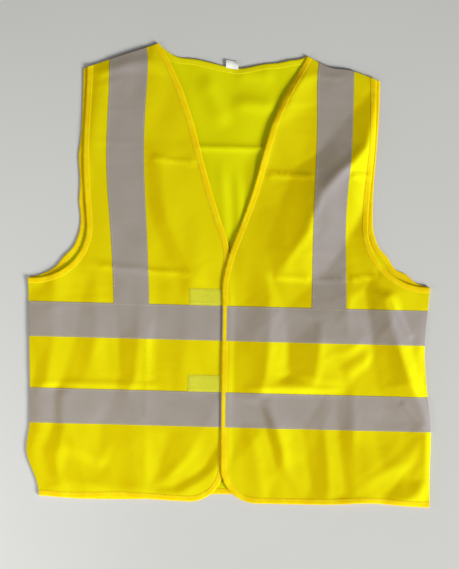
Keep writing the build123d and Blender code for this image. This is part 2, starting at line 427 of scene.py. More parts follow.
RIGHT_RELIEF = (
    ((-289, -12, 2.2), (-285, -170, 2.2), (-281, -328, 2.2)),      # side seam
    ((-200, -328, 3.4), (-120, -328, 4.4), (-50, -328, 3), (-22, -318, 3.2)),
    ((-2, -270, 3.2), (-6, -170, 3.4), (-6, -20, 3.4), (-10, 35, 3.4)),      # closing edge
    ((-35, 100, 3.4), (-65, 190, 3.4), (-95, 280, 3.4), (-112, 326, 2.4)),
    ((-213, 290, 2.4), (-204, 150, 2.8), (-202, 80, 3.2), (-225, 20, 3)),      # armhole
    ((-190, 284, 4.4), (-125, 304, 4.6)),
    ((-196, 190, 3.5), (-122, 190, 3.5)),
    ((-206, 96, 4.4), (-217, 50, 5), (-246, 12, 5)),
    ((-182, 60, 3.5), (-192, 5, 3.4), (-206, -20, 3)),
    ((-120, 155, 3.2), (-118, 100, 3.2), (-108, 60, 3.2), (-80, -5, 3.4)),
    ((-101, 160, 5), (-98, 110, 5.6), (-91, 73, 5.8), (-77, 40, 5.8), (-56, -5, 5.6)),
    ((-252, -16, 4.4), (-252, -50, 5.2), (-252, -96, 5.2), (-262, -150, 5), (-274, -180, 4),
     (-272, -222, 4.2)),
    ((-214, -50, 3), (-222, -98, 3), (-238, -158, 3.4), (-250, -180, 3), (-250, -218, 3),
     (-262, -262, 3), (-262, -302, 3)),
    ((-192, -30, 4.4), (-192, -98, 5), (-200, -130, 5.2), (-212, -164, 5.4), (-206, -218, 5.2)),
    ((-238, -180, 6.2), (-238, -218, 6.2), (-244, -262, 6), (-247, -298, 5)),
    ((-170, -15, 3), (-160, -98, 3), (-158, -150, 3), (-166, -180, 3.2), (-184, -220, 3.2)),
    ((-132, -12, 4.6), (-132, -60, 5.6), (-132, -98, 6.2), (-134, -145, 6.2), (-146, -178, 5.4),
     (-158, -218, 4.4)),
    ((-165, -246, 4.2), (-170, -275, 4.2)),
    ((-108, -20, 3.8), (-107, -60, 3.4), (-108, -100, 3.4), (-106, -150, 3.4), (-101, -216, 3.4)),
    ((-66, -40, 4.6), (-64, -96, 4.8), (-72, -140, 4.8), (-76, -180, 4.6)),
    ((-119, -228, 6), (-117, -316, 5.6)),      # upright packing crease
    ((-87, -232, 3.6), (-98, -282, 3.6)),
    ((-232, -250, 6), (-183, -272, 5.6)),
    ((-228, -268, 4), (-185, -290, 3.5)),
    ((-238, -304, 5), (-200, -308, 5.6), (-165, -316, 5)),
    ((-30, -212, 5), (-58, -262, 5.2), (-88, -298, 4.6)),
    ((-9, -240, 3.2), (-35, -282, 3), (-76, -308, 3)),
    ((-16, -276, 5), (-42, -300, 5.4), (-72, -318, 4.8)),
)
# Creases from packing: start, end, width, height
CREASES = {
    "left": (
        ((54, 144), (120, 143), 4.5, 1.0),
        ((173, 145), (205, 145), 4.5, 1.1),
        ((60, -3), (115, -5), 5, 0.6),
        ((118, -6), (168, -5), 5, 0.7),
        ((172, -3), (214, 2), 5, 0.7),
        ((20, -163), (170, -162), 4, 0.5),
        ((224, -20), (268, -88), 4, 1.1),
        ((246, -178), (275, -217), 4, 0.9),
    ),
    "right": (
        ((-112, 163), (-58, 158), 4.5, 0.8),
        ((-190, 7), (-56, -2), 4, 0.8),
        ((-275, -163), (-95, -163), 4, 0.6),
        ((-120, -84), (-119, -222), 6, 0.5),
    ),
    "back": (((-72, 180), (78, 182), 4, 2.0),),
}
BACK_FOLDS = (
    ((6, 150), (14, 20), 7, 1.6),
    ((-16, 160), (-6, 40), 8, 1.3),
    ((30, 165), (26, 70), 8, 1.2),
    ((-42, 284), (-8, 212), 13, 2.2),         # soft folds below the neck
    ((4, 292), (62, 288), 12, 1.6),
    ((0, 246), (66, 244), 11, 1.8),
)


SEAM_HEIGHT = 2.2                # height of a front where it is sewn to the back
RELIEF_GAIN = {"left": 1.25, "right": 0.95}      # how much the relief lines are exaggerated


def flat_tree(flat, faces):
    """A search tree over flat triangles."""
    return BVHTree.FromPolygons([(u, v, 0.0) for u, v in flat], faces.tolist(), all_triangles=True)


class Relief:
    """Facets between crests and valleys, with their edges rounded off."""

    def __init__(self, lines):
        points = np.array([point for line in lines for point in line], float)
        edges, n = [], 0
        for line in lines:
            edges += [(n + i, n + i + 1) for i in range(len(line) - 1)]
            n += len(line)
        out = delaunay_2d_cdt([Vector(q[:2]) for q in points], edges, [], 0, 1e-5)
        self.plan = np.array([tuple(v) for v in out[0]])
        self.faces = np.array([face for face in out[2] if len(face) == 3])
        self.z = np.array([points[source, 2].mean() if source else np.nan for source in out[3]])
        for index in np.nonzero(np.isnan(self.z))[0]:
            around = np.unique(self.faces[(self.faces == index).any(1)])
            self.z[index] = np.nanmean(self.z[around])
        self.tree = flat_tree(self.plan, self.faces)

    def height(self, points):
        """Mean height around each point, so that crests and valleys are round."""
        total = np.zeros(len(points))
        for radius, count in ((0, 1), (2.5, 6), (5.0, 6)):
            for turn in np.arange(count) * 2 * math.pi / count:
                shift = radius * np.array((math.cos(turn), math.sin(turn)))
                tri, weights, _ = share_of_triangles(self.tree, self.plan, self.faces, points + shift)
                total += (self.z[tri] * weights).sum(1)
        return total / 13


def share_of_triangles(tree, flat, faces, points):
    """For flat points: the nearest triangle, its corners' weights there, and the nearest point on it."""
    hits = [tree.find_nearest((u, v, 0.0)) for u, v in points]
    near = np.array([(h[0].x, h[0].y) for h in hits])
    tri = faces[[h[2] for h in hits]]
    a, b, c = flat[tri[:, 0]], flat[tri[:, 1]], flat[tri[:, 2]]
    v0, v1, v2 = b - a, c - a, near - a
    den = v0[:, 0] * v1[:, 1] - v1[:, 0] * v0[:, 1]
    s = (v2[:, 0] * v1[:, 1] - v1[:, 0] * v2[:, 1]) / den
    t = (v0[:, 0] * v2[:, 1] - v2[:, 0] * v0[:, 1]) / den
    return tri, np.column_stack([1 - s - t, s, t]), near


RELIEF = {"left": Relief(LEFT_RELIEF), "right": Relief(RIGHT_RELIEF)}


def laid_back(flat):
    """Where each flat point of the back panel lies."""
    place = pulled(flat, PULLS + BACK_PULLS)
    p = flat / MM
    height = np.zeros(len(p))
    for entry in BACK_FOLDS:
        height += fold(p, *entry)
    for entry in CREASES["back"]:
        height += crease(p, *entry)
    swell = 0.35 * ripples(p, 5, 14, 50, 130, 0.5)
    height += np.maximum(swell + 0.35, 0)
    return np.column_stack([place, BACK_LEVEL + height * MM])


def laid_front(flat, name):
    """Where each flat point of a front lies."""
    place = pulled(flat, PULLS + FRONT_PULLS[name])
    p = flat / MM
    near_edge = np.exp(-(distance(EDGES[name]["front"], flat) / (V_REACH * MM)) ** 2)
    place[:, 0] += near_edge * np.interp(p[:, 1], *zip(*V_DRAW[name])) * MM
    height = RELIEF[name].height(p)
    for entry in CREASES[name]:
        height += crease(p, *entry)
    height = SEAM_HEIGHT + RELIEF_GAIN[name] * (height - SEAM_HEIGHT)
    height += 0.2 * ripples(p, 11, 16, 30, 80, 0.35)
    return np.column_stack([place, height * MM])


# ------------------------------------------------------------------ meshes
def triangulate(loop, lines, step):
    """Even triangles that fill the outline and have edges along every line."""
    rim = resample(np.vstack([loop, loop[:1]]), step)[:-1]
    low, high = rim.min(0), rim.max(0)
    rows = np.arange(low[1], high[1], step * math.sqrt(3) / 2)
    grid = []
    for k, y in enumerate(rows):
        x = np.arange(low[0] + (k % 2) * step / 2, high[0], step)
        grid.append(np.column_stack([x, np.full(len(x), y)]))
    grid = np.vstack(grid)
    grid += np.random.default_rng(1).uniform(-0.12, 0.12, grid.shape) * step
    grid = grid[inside(rim, grid)]
    paths = [resample(np.array(line), step) for line in lines]
    tree = KDTree(len(rim) + sum(len(p) for p in paths))
    fixed = np.vstack([rim] + paths)
    for i, q in enumerate(fixed):
        tree.insert((q[0], q[1], 0), i)
    tree.balance()
    grid = np.array([q for q in grid if tree.find((q[0], q[1], 0))[2] > 0.55 * step])
    points = np.vstack([fixed, grid])
    n = len(rim)
    edges = [(i, (i + 1) % n) for i in range(n)]
    for path in paths:
        edges += [(n + i, n + i + 1) for i in range(len(path) - 1)]
        n += len(path)
    out = delaunay_2d_cdt([Vector(q) for q in points], edges, [list(range(len(rim)))], 1, 1e-7)
    verts = np.array([tuple(v) for v in out[0]])
    faces = np.array([f for f in out[2] if len(f) == 3])
    keep = inside(rim, verts[faces].mean(1))
    faces = faces[keep]
    used = np.unique(faces)
    index = np.full(len(verts), -1)
    index[used] = np.arange(len(used))
    return verts[used], index[faces]


def vertex_normals(points, faces):
    """Mean normal of the triangles round each point."""
    a, b, c = points[faces[:, 0]], points[faces[:, 1]], points[faces[:, 2]]
    cross = np.cross(b - a, c - a)
    normals = np.zeros_like(points)
    for k in range(3):
        np.add.at(normals, faces[:, k], cross)
    return unit(normals)


class Cloth:
    """One panel: its flat coordinates, where they lie, and a way to place things on it."""

    def __init__(self, flat, faces, place):
        up = np.cross(np.append(flat[faces[0, 1]] - flat[faces[0, 0]], 0),
                      np.append(flat[faces[0, 2]] - flat[faces[0, 0]], 0))[2]
        if up < 0:
            faces = faces[:, ::-1]
        self.flat, self.faces, self.place = flat, faces, place
        self.normals = vertex_normals(place, faces)
        self.tree = flat_tree(flat, faces)

    def at(self, points, lift=0.0):
        """Positions and normals of flat points, raised by lift. Points off the panel are carried on level."""
        tri, weights, near = share_of_triangles(self.tree, self.flat, self.faces, points)
        weights = weights[:, :, None]
        place = (self.place[tri] * weights).sum(1)
        normal = unit((self.normals[tri] * weights).sum(1))
        off = np.column_stack([points - near, np.zeros(len(points))])
        off -= normal * (off * normal).sum(1, keepdims=True)
        lift = np.broadcast_to(lift, len(points))[:, None]
        return place + off + normal * lift, normal


def link(name, data):
    """A new object in the scene."""
    obj = bpy.data.objects.new(name, data)
    bpy.context.scene.collection.objects.link(obj)
    return obj


def square(name, half, z):
    """A flat square about the origin at height z."""
    mesh = bpy.data.meshes.new(name)
    corner_points = [(-half, -half, 0), (half, -half, 0), (half, half, 0), (-half, half, 0)]
    mesh.from_pydata(corner_points, [], [(0, 1, 2, 3)])
    obj = link(name, mesh)
    obj.location.z = z
    return obj


def make_object(name, verts, faces, flat=None):
    """A mesh object. flat, if given, is kept as a UV map so that a weave follows the cloth."""
    mesh = bpy.data.meshes.new(name)
    mesh.from_pydata(np.asarray(verts).tolist(), [], [list(map(int, f)) for f in faces])
    mesh.validate()
    if flat is not None:
        layer = mesh.uv_layers.new(name="flat")
        index = np.zeros(len(mesh.loops), int)
        mesh.loops.foreach_get("vertex_index", index)
        layer.data.foreach_set("uv", np.asarray(flat)[index].astype(np.float32).ravel())
    mesh.polygons.foreach_set("use_smooth", [True] * len(mesh.polygons))
    mesh.set_sharp_from_angle(angle=math.radians(50))
    return link(name, mesh)


def rim_edges(faces):
    """Directed boundary edges of a triangle mesh."""
    seen = {}
    for a, b, c in faces.tolist():
        for e in ((a, b), (b, c), (c, a)):
            seen[e] = True
    return [e for e in seen if (e[1], e[0]) not in seen]


def sheet(name, place, normals, faces, flat, low, high):
    """A closed sheet between two offsets along the normals, with a straight rim."""
    n = len(place)
    low = np.reshape(low, (-1, 1))
    high = np.reshape(high, (-1, 1))
    verts = np.vstack([place + normals * high, place + normals * low])
    all_faces = faces.tolist() + (faces[:, ::-1] + n).tolist()
    all_faces += [(b, a, a + n, b + n) for a, b in rim_edges(faces)]
    return make_object(name, verts, all_faces, np.vstack([flat, flat]))


def part_of(cloth, keep):
    """The triangles of a cloth whose flat centres satisfy keep, with their own vertices."""
    faces = cloth.faces[keep(cloth.flat[cloth.faces].mean(1))]
    used = np.unique(faces)
    index = np.full(len(cloth.flat), -1)
    index[used] = np.arange(len(used))
    return cloth.place[used], cloth.normals[used], index[faces], cloth.flat[used]


# ------------------------------------------------------------------ cloth panels
def band_lines(loop):
    """Both edges of each band, from one side of the outline to the other."""
    lines = []
    for y0, y1 in BANDS.values():
        for y in (y0, y1):
            hits = []
            for a, b in zip(loop, np.roll(loop, -1, 0)):
                if (a[1] > y) != (b[1] > y):
                    hits.append(a[0] + (b[0] - a[0]) * (y - a[1]) / (b[1] - a[1]))
            lines.append([(min(hits), y), (max(hits), y)])
    return lines


def tape_lines(name):
    """Both edges of a shoulder tape."""
    inner_foot, outer_foot, outer_head, inner_head = TAPES[name]
    lines = []
    for foot, head in ((inner_foot, inner_head), (outer_foot, outer_head)):
        lines.append([foot, foot + (head - foot) * 0.9985])
    return lines


def panel(name):
    """The cloth of a panel, laid out, settled and kept clear of the layers under it."""
    edges = EDGES[name]
    sides = [name] if name in SIDES else list(SIDES)
    lines = band_lines(edges["loop"])
    for side in sides:
        lines += tape_lines(side)
    lines += [[np.array(end) * MM for end in entry[:2]] for entry in CREASES[name]]
    flat, faces = triangulate(edges["loop"], lines, STEP)
    if name == "back":
        return Cloth(flat, faces, laid_back(flat))
    place = laid_front(flat, name)
    settled = settle(faces, place, pinned_share(name, flat))
    to_edge = np.minimum(distance(edges["front"], flat), distance(edges["armhole"], flat))
    free = np.clip(to_edge / FREE_IN, 0, 1)
    place += SETTLED_SHARE * free[:, None] * (settled - place)
    place[:, 2] = np.maximum(place[:, 2], least_height(flat, name))
    return Cloth(flat, faces, place)


def least_height(flat, name):
    """How low a front may lie: clear of the back, and the left one clear of the right one under its edge."""
    near_arm = np.exp(-(distance(EDGES[name]["armhole"], flat) / ARM_REACH) ** 2)
    least = laid_back(flat)[:, 2] + BACK_GAP + ARM_GAP * near_arm
    if name == "left":
        needed = laid_front(flat, "right")[:, 2] + OVERLAP_GAP
        beyond = np.where(inside(EDGES["right"]["loop"], flat), 0, distance(EDGES["right"]["front"], flat))
        least += smooth(1.25 - beyond / OVERLAP_REACH) * np.maximum(needed - least, 0)
    return least


def pinned_share(name, flat):
    """1 where a panel is sewn to its neighbour, falling to 0 inside it; 0 elsewhere."""
    edges = EDGES[name]
    reach = np.minimum(distance(edges["side"], flat), distance(edges["shoulder"], flat))
    return np.clip(1.3 - reach / PIN_REACH, 0, 1)


def settle(faces, place, pins):
    """Runs cloth on a laid-out panel, so that its folds slump and the slack between its seams buckles."""
    obj = make_object("settling", place, faces)
    group = obj.vertex_groups.new(name="pins")
    for index in np.nonzero(pins > 0)[0]:
        group.add([int(index)], float(pins[index]), "REPLACE")
    table = square("table", 1, BACK_LEVEL + 0.4 * MM)
    table.modifiers.new("hit", "COLLISION")
    table.collision.thickness_outer = 0.0008
    cloth = obj.modifiers.new("cloth", "CLOTH")
    settings = cloth.settings
    settings.quality = 6
    settings.mass = 0.02
    settings.air_damping = 2.0
    settings.tension_stiffness = 12
    settings.compression_stiffness = 12
    settings.shear_stiffness = 6
    settings.bending_stiffness = 3.0
    settings.shrink_min = -SWELL
    settings.vertex_group_mass = "pins"
    settings.pin_stiffness = 2.0
    settings.effector_weights.gravity = 0.25
    cloth.collision_settings.distance_min = 0.0008
    cloth.collision_settings.use_self_collision = False
    cloth.point_cache.frame_start = 1
    cloth.point_cache.frame_end = SETTLE_FRAMES
    for frame_number in range(1, SETTLE_FRAMES + 1):
        bpy.context.scene.frame_set(frame_number)
    seen = obj.evaluated_get(bpy.context.evaluated_depsgraph_get()).to_mesh()
    result = np.array([v.co for v in seen.vertices])
    for used in (obj, table):
        bpy.data.objects.remove(used)
    bpy.context.scene.frame_set(1)
    return result


def attach(obj, name, material, slot, *nodes):
    """Gives a piece its material and hides the CAD nodes it replaces. A piece of a front stays in place with
    its transform baked in; any other piece is put on the garment body.
    """
    obj.data.materials.append(material)
    if name in SIDES:
        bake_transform(obj)
    else:
        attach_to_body(obj, "garment")
    if nodes:
        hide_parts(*nodes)
    return obj


CLOTH = {name: panel(name) for name in ("back", "left", "right")}


# ------------------------------------------------------------------ materials
class Graph:
    """A small helper for building a node material."""

    def __init__(self, name):
        self.material = bpy.data.materials.new(name)
        self.material.use_nodes = True
        self.tree = self.material.node_tree
        self.shader = self.tree.nodes["Principled BSDF"]

    def node(self, kind, **settings):
        item = self.tree.nodes.new(kind)
        for key, value in settings.items():
            if key in item.inputs:
                self.set(item, key, value)
            else:
                setattr(item, key, value)
        return item

    def set(self, item, key, value):
        if isinstance(value, bpy.types.NodeSocket):
            self.tree.links.new(value, item.inputs[key])
        else:
            item.inputs[key].default_value = value

    def math(self, operation, a, b=0.0):
        item = self.tree.nodes.new("ShaderNodeMath")
        item.operation = operation
        self.set(item, 0, a)
        self.set(item, 1, b)
        return item.outputs[0]

    def mix(self, factor, a, b):
        item = self.tree.nodes.new("ShaderNodeMix")
        item.data_type = "RGBA"
        self.set(item, 0, factor)
        self.set(item, 6, a)
        self.set(item, 7, b)
        return item.outputs[2]

    def scale(self, vector, x, y, z=1.0):
        item = self.tree.nodes.new("ShaderNodeMapping")
        self.set(item, "Vector", vector)
        item.inputs["Scale"].default_value = (x, y, z)
        return item.outputs[0]

    def noise(self, vector, scale, detail=2.0, rough=0.5):
        item = self.node("ShaderNodeTexNoise", Scale=scale, Detail=detail, Roughness=rough)
        self.set(item, "Vector", vector)
        return item.outputs["Fac"]

    def wave(self, vector, scale, direction="X", distort=0.0):
        item = self.node("ShaderNodeTexWave", Scale=scale, Distortion=distort)
        item.wave_type = "BANDS"
        item.bands_direction = direction
        self.set(item, "Vector", vector)
        return item.outputs["Fac"]

    def ramp(self, value, low, high, low_to=0.0, high_to=1.0):
        item = self.tree.nodes.new("ShaderNodeMapRange")
        item.inputs["From Min"].default_value = low
        item.inputs["From Max"].default_value = high
        item.inputs["To Min"].default_value = low_to
        item.inputs["To Max"].default_value = high_to
        self.set(item, "Value", value)
        return item.outputs[0]

    def bump(self, height, strength, distance):
        item = self.node("ShaderNodeBump", Strength=strength, Distance=distance)
        self.set(item, "Height", height)
        self.set(self.shader, "Normal", item.outputs[0])

    def flat(self):
        item = self.tree.nodes.new("ShaderNodeUVMap")
        item.uv_map = "flat"
        return item.outputs[0]

    def place(self):
        return self.tree.nodes.new("ShaderNodeTexCoord").outputs["Object"]


def lit_share(g, low, high):
    """How far a surface faces the key light, as a share. Colours mixed by it are painted light and shade: a lit
    copy where the surface faces the key light and a shaded copy where it turns away, painted in to copy how
    fluorescent cloth shifts hue between light and shade.
    """
    geometry = g.tree.nodes.new("ShaderNodeNewGeometry")
    dot = g.tree.nodes.new("ShaderNodeVectorMath")
    dot.operation = "DOT_PRODUCT"
    g.set(dot, 0, geometry.outputs["Normal"])
    dot.inputs[1].default_value = KEY_DIRECTION
    return g.ramp(dot.outputs["Value"], low, high)


def knit(name, lit, shade, mottle):
    """Fine warp knit: ribs one way, courses the other, and small holes between them."""
    g = Graph(name)
    flat = g.flat()
    # Painted light and shade: the base colour runs from the shade copy to the lit copy as the knit turns
    # towards the key light.
    share = lit_share(g, 0.34, 0.60)
    base = g.mix(share, shade, lit)
    blotch = g.noise(flat, 60, 3)
    yarn = g.noise(g.scale(flat, 1, 0.12), 900, 2)
    tone = g.math("ADD", g.math("MULTIPLY", blotch, 0.7), g.math("MULTIPLY", yarn, 0.5))
    colour = g.mix(g.ramp(tone, 0.5, 1.1, 0.0, 0.3), base, mottle)
    g.set(g.shader, "Base Color", colour)
    ribs = g.wave(flat, 1 / WALE / 3.18, "X", 0.6)
    courses = g.wave(flat, 1 / WALE / 2.6, "Y", 0.8)
    weave = g.math("MULTIPLY", ribs, g.math("ADD", g.math("MULTIPLY", courses, 0.6), 0.4))
    g.bump(weave, 0.25, 0.12 * MM)
    g.set(g.shader, "Roughness", g.ramp(blotch, 0.3, 0.7, 0.72, 0.85))
    g.set(g.shader, "Specular IOR Level", 0.02)
    return g.material


def tape_material():
    """Retroreflective tape: glass beads on a grey woven ground."""
    g = Graph("reflective_tape")
    flat = g.flat()
    # Painted light and shade: brownish grey where the tape turns away from the key light, lavender grey where
    # it faces it.
    share = lit_share(g, 0.22, 0.72)
    base = g.mix(share, (0.325, 0.262, 0.18, 1), (0.40, 0.375, 0.39, 1))
    worn = g.noise(flat, 30, 3, 0.5)
    fine = g.noise(flat, 2600, 1)
    tone = g.math("ADD", g.math("MULTIPLY", worn, 0.6), g.math("MULTIPLY", fine, 0.5))
    colour = g.mix(g.ramp(tone, 0.4, 0.85, 0.0, 0.35), base, (0.46, 0.42, 0.40, 1))
    g.set(g.shader, "Base Color", colour)
    beads = g.node("ShaderNodeTexVoronoi", Scale=3000)
    g.set(beads, "Vector", flat)
    weave = g.math("MULTIPLY", g.wave(flat, 380, "X"), g.wave(flat, 380, "Y"))
    g.bump(g.math("ADD", beads.outputs["Distance"], g.math("MULTIPLY", weave, 0.6)), 0.18, 0.06 * MM)
    g.set(g.shader, "Roughness", g.ramp(worn, 0.3, 0.7, 0.6, 0.7))
    g.set(g.shader, "Specular IOR Level", 0.12)
    return g.material


def binding_material(name, lit, shade, worn_to):
    """Folded satin binding with a fine slanted weave."""
    g = Graph(name)
    flat = g.flat()
    # Painted light and shade: the base colour runs from the orange shade copy to the lit copy as the binding
    # turns towards the key light.
    share = lit_share(g, 0.15, 0.8)
    base = g.mix(share, shade, lit)
    worn = g.noise(flat, 70, 3)
    g.set(g.shader, "Base Color", g.mix(g.ramp(worn, 0.4, 0.8), base, worn_to))
    twill = g.wave(flat, 420, "DIAGONAL", 0.4)
    g.bump(twill, 0.22, 0.08 * MM)
    g.set(g.shader, "Roughness", 0.65)
    g.set(g.shader, "Specular IOR Level", 0.06)
    return g.material


def thread_material(name, colour):
    """Twisted sewing thread."""
    g = Graph(name)
    place = g.place()
    twist = g.wave(place, 700, "DIAGONAL", 1.0)
    paler = [min(1, c * 1.15) for c in colour[:3]] + [1]
    g.set(g.shader, "Base Color", g.mix(g.noise(place, 300, 2), colour, paler))
    g.bump(twist, 0.3, 0.05 * MM)
    g.set(g.shader, "Roughness", 0.45)
    g.set(g.shader, "Sheen Weight", 0.2)
    return g.material


def pile_material(name, dark, light, scale):
    """Loop or hook pile: a dense field of small tufts."""
    g = Graph(name)
    place = g.place()
    cells = g.node("ShaderNodeTexVoronoi", Scale=scale)
    g.set(cells, "Vector", place)
    tufts = g.ramp(cells.outputs["Distance"], 0.0, 0.6, 1.0, 0.0)
    clumps = g.noise(place, 120, 3)
    # The colour is darker between the tufts, which is painted shade in the hollows of the pile, and patchy at
    # random with the clumps.
    tone = g.math("ADD", g.math("MULTIPLY", tufts, 0.6), g.math("MULTIPLY", clumps, 0.5))
    g.set(g.shader, "Base Color", g.mix(g.ramp(tone, 0.3, 0.9), dark, light))
    g.bump(tufts, 0.5, 0.3 * MM)
    g.set(g.shader, "Roughness", 0.8)
    g.set(g.shader, "Sheen Weight", 0.05)
    g.set(g.shader, "Specular IOR Level", 0.15)
    return g.material


def label_material():
    """White satin ribbon."""
    g = Graph("label_satin")
    place = g.place()
    threads = g.wave(place, 600, "X", 0.3)
    g.set(g.shader, "Base Color", g.mix(g.noise(place, 200, 2), (0.94, 0.95, 0.86, 1), (0.99, 1, 0.92, 1)))
    g.bump(threads, 0.25, 0.04 * MM)
    g.set(g.shader, "Roughness", 0.4)
    g.set(g.shader, "Sheen Weight", 0.3)
    return g.material


# Each lit and shade pair is one cloth's colour painted lit and painted in shade; lit_share mixes them by how
# far the surface faces the key light.
KNIT_FRONT = knit(
    "knit_front",
    lit=(0.92, 0.905, 0.006, 1),
    shade=(0.70, 0.525, 0.0, 1),
    mottle=(0.80, 0.71, 0.004, 1),
)
KNIT_BACK = knit(
    "knit_back",
    lit=(0.80, 0.84, 0.004, 1),
    shade=(0.74, 0.68, 0.001, 1),
    mottle=(0.78, 0.82, 0.004, 1),
)
TAPE = tape_material()
# The bindings' lit and shade colours are painted light and painted shade of one binding colour.
BINDING = binding_material(
    "binding_weave",
    lit=(0.94, 0.78, 0.0, 1),
    shade=(0.88, 0.54, 0.0, 1),
    worn_to=(0.94, 0.78, 0.004, 1),
)
INNER_BINDING = binding_material(
    "inner_binding_weave",
    lit=(0.84, 0.84, 0.0, 1),
    shade=(0.82, 0.66, 0.0, 1),
    worn_to=(0.84, 0.82, 0.004, 1),
)
THREAD = thread_material("thread_yellow", (0.82, 0.66, 0.02, 1))
TAPE_THREAD = thread_material("thread_on_tape", (0.60, 0.58, 0.30, 1))
LOOP = pile_material("loop_pile", (0.66, 0.65, 0.03, 1), (0.84, 0.84, 0.07, 1), 900)
HOOK = pile_material("hook_pile", (0.62, 0.62, 0.05, 1), (0.76, 0.76, 0.12, 1), 700)
LABEL = label_material()


def build_panels():
    """The three pieces of knit."""
    names = {"back": ("back_panel_cloth", ["back_panel"])}
    for side in SIDES:
        names[side] = (f"{side}_front_cloth", [f"{side}_front_side", f"{side}_front_flap"])
    for key, (name, nodes) in names.items():
        cloth = CLOTH[key]
        obj = sheet(name, cloth.place, cloth.normals, cloth.faces, cloth.flat, -CLOTH_T / 2, CLOTH_T / 2)
        attach(obj, key, KNIT_BACK if key == "back" else KNIT_FRONT, "fabric", *nodes)


# ------------------------------------------------------------------ tapes
def build_tapes():
    """The bands and the shoulder tapes, cut from the cloth surface under them."""
    low = CLOTH_T / 2 + SURFACE_GAP
    high = low + TAPE_T
    for band, (y0, y1) in BANDS.items():
        for key, cloth in CLOTH.items():
            piece = part_of(cloth, lambda c: (c[:, 1] > y0) & (c[:, 1] < y1))
            levels = (-high, -low) if key == "back" else (low, high)
            node = f"{band}_band" if key == "back" else f"{key}_{band}_band_end"
            obj = sheet(f"{band}_band_on_{key}", *piece, *levels)
            attach(obj, key, TAPE, "reflective_tape", node)
    for side in SIDES:
        loop = np.array(TAPES[side])
        stretched = loop.copy()
        stretched[2:] += (loop[2:] - loop[[1, 0]]) * 0.2
        for key in ("back", side):
            piece = part_of(CLOTH[key], lambda c: inside(stretched, c))
            levels = (-high, -low) if key == "back" else (low, high)
            obj = sheet(f"{side}_shoulder_tape_on_{'back' if key == 'back' else 'front'}", *piece, *levels)
            attach(obj, "garment", TAPE, "reflective_tape")
            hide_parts(f"{side}_shoulder_tape")


# ------------------------------------------------------------------ bindings
def path_frames(path, inward_side, cut_start=None, cut_end=None):
    """Inward vectors along a path, one unit deep and turned at the ends to follow the cuts, and its run."""
    tangent = unit(np.gradient(path, axis=0))
    normal = np.column_stack([-tangent[:, 1], tangent[:, 0]]) * inward_side
    run = run_along(path)
    result = normal.copy()
    for cut, reach in ((cut_start, run), (cut_end, run[-1] - run)):
        if cut is None:
            continue
        cut = np.array(cut, float) / np.hypot(*cut)
        weight = np.clip(1 - reach / BIND_W, 0, 1)[:, None]
        turned = unit(normal * (1 - weight) + cut * weight)
        turned /= np.maximum((turned * normal).sum(1, keepdims=True), 0.5)
        result = np.where(weight > 0, turned, result)
    return result, run


def binding_profile():
    """The closed section: depths inside the edge and heights off the cloth's middle, and their mirror."""
    half = CLOTH_T / 2 + SURFACE_GAP
    shares = ((1, 0), (1, 0.5), (0.92, 1.1), (0.75, 1.1), (0.5, 1.45), (0.2, 1.5), (0.02, 0.9))
    outer = [(depth * BIND_W, half + rise * BIND_T) for depth, rise in shares]
    outer.append((-0.045 * BIND_W, 0.6 * half))
    inner = [(0.0, -half), (0.0, half)]
    return outer + [(d, -h) for d, h in outer[::-1]] + inner


def build_binding(name, key, edge, before, after, body, *nodes, material=BINDING):
    """A folded binding along one edge of a panel, with its ends cut along the edges before and after it."""
    edges = EDGES[key]
    inward_side = SIDES.get(key, 1)
    path = resample(edges[edge], BIND_STEP)
    cut_start = edges[before][0] - edges[before][-1]
    cut_end = edges[after][-1] - edges[after][0]
    across, run = path_frames(path, inward_side, cut_start, cut_end)
    rings, flats = [], []
    for depth, lift in binding_profile():
        rings.append(CLOTH[key].at(path + across * depth, lift)[0])
        flats.append(np.column_stack([run, np.full(len(run), depth + lift)]))
    obj = tube(name, rings, flats, inward_side < 0)
    attach(obj, body, material, "binding", *nodes)


def build_bindings():
    """Bindings of the neck, hem, front edges and both armholes."""
    build_binding("neck_binding_on_back", "back", "neck", "left_shoulder", "right_shoulder", "back",
                  "neck_binding", material=INNER_BINDING)
    build_binding("hem_binding_on_back", "back", "hem", "right_side", "left_side", "back", "hem_binding")
    for name, side in SIDES.items():
        build_binding(f"{name}_front_edge_binding", name, "front", "shoulder", "side", name,
                      f"{name}_front_binding")
        build_binding(f"{name}_armhole_binding_on_front", name, "armhole", "side", "shoulder", "garment",
                      f"{name}_armhole_binding")
        ends = (f"{name}_side", f"{name}_shoulder")[::side]
        build_binding(f"{name}_armhole_binding_on_back", "back", f"{name}_armhole", *ends, "garment")


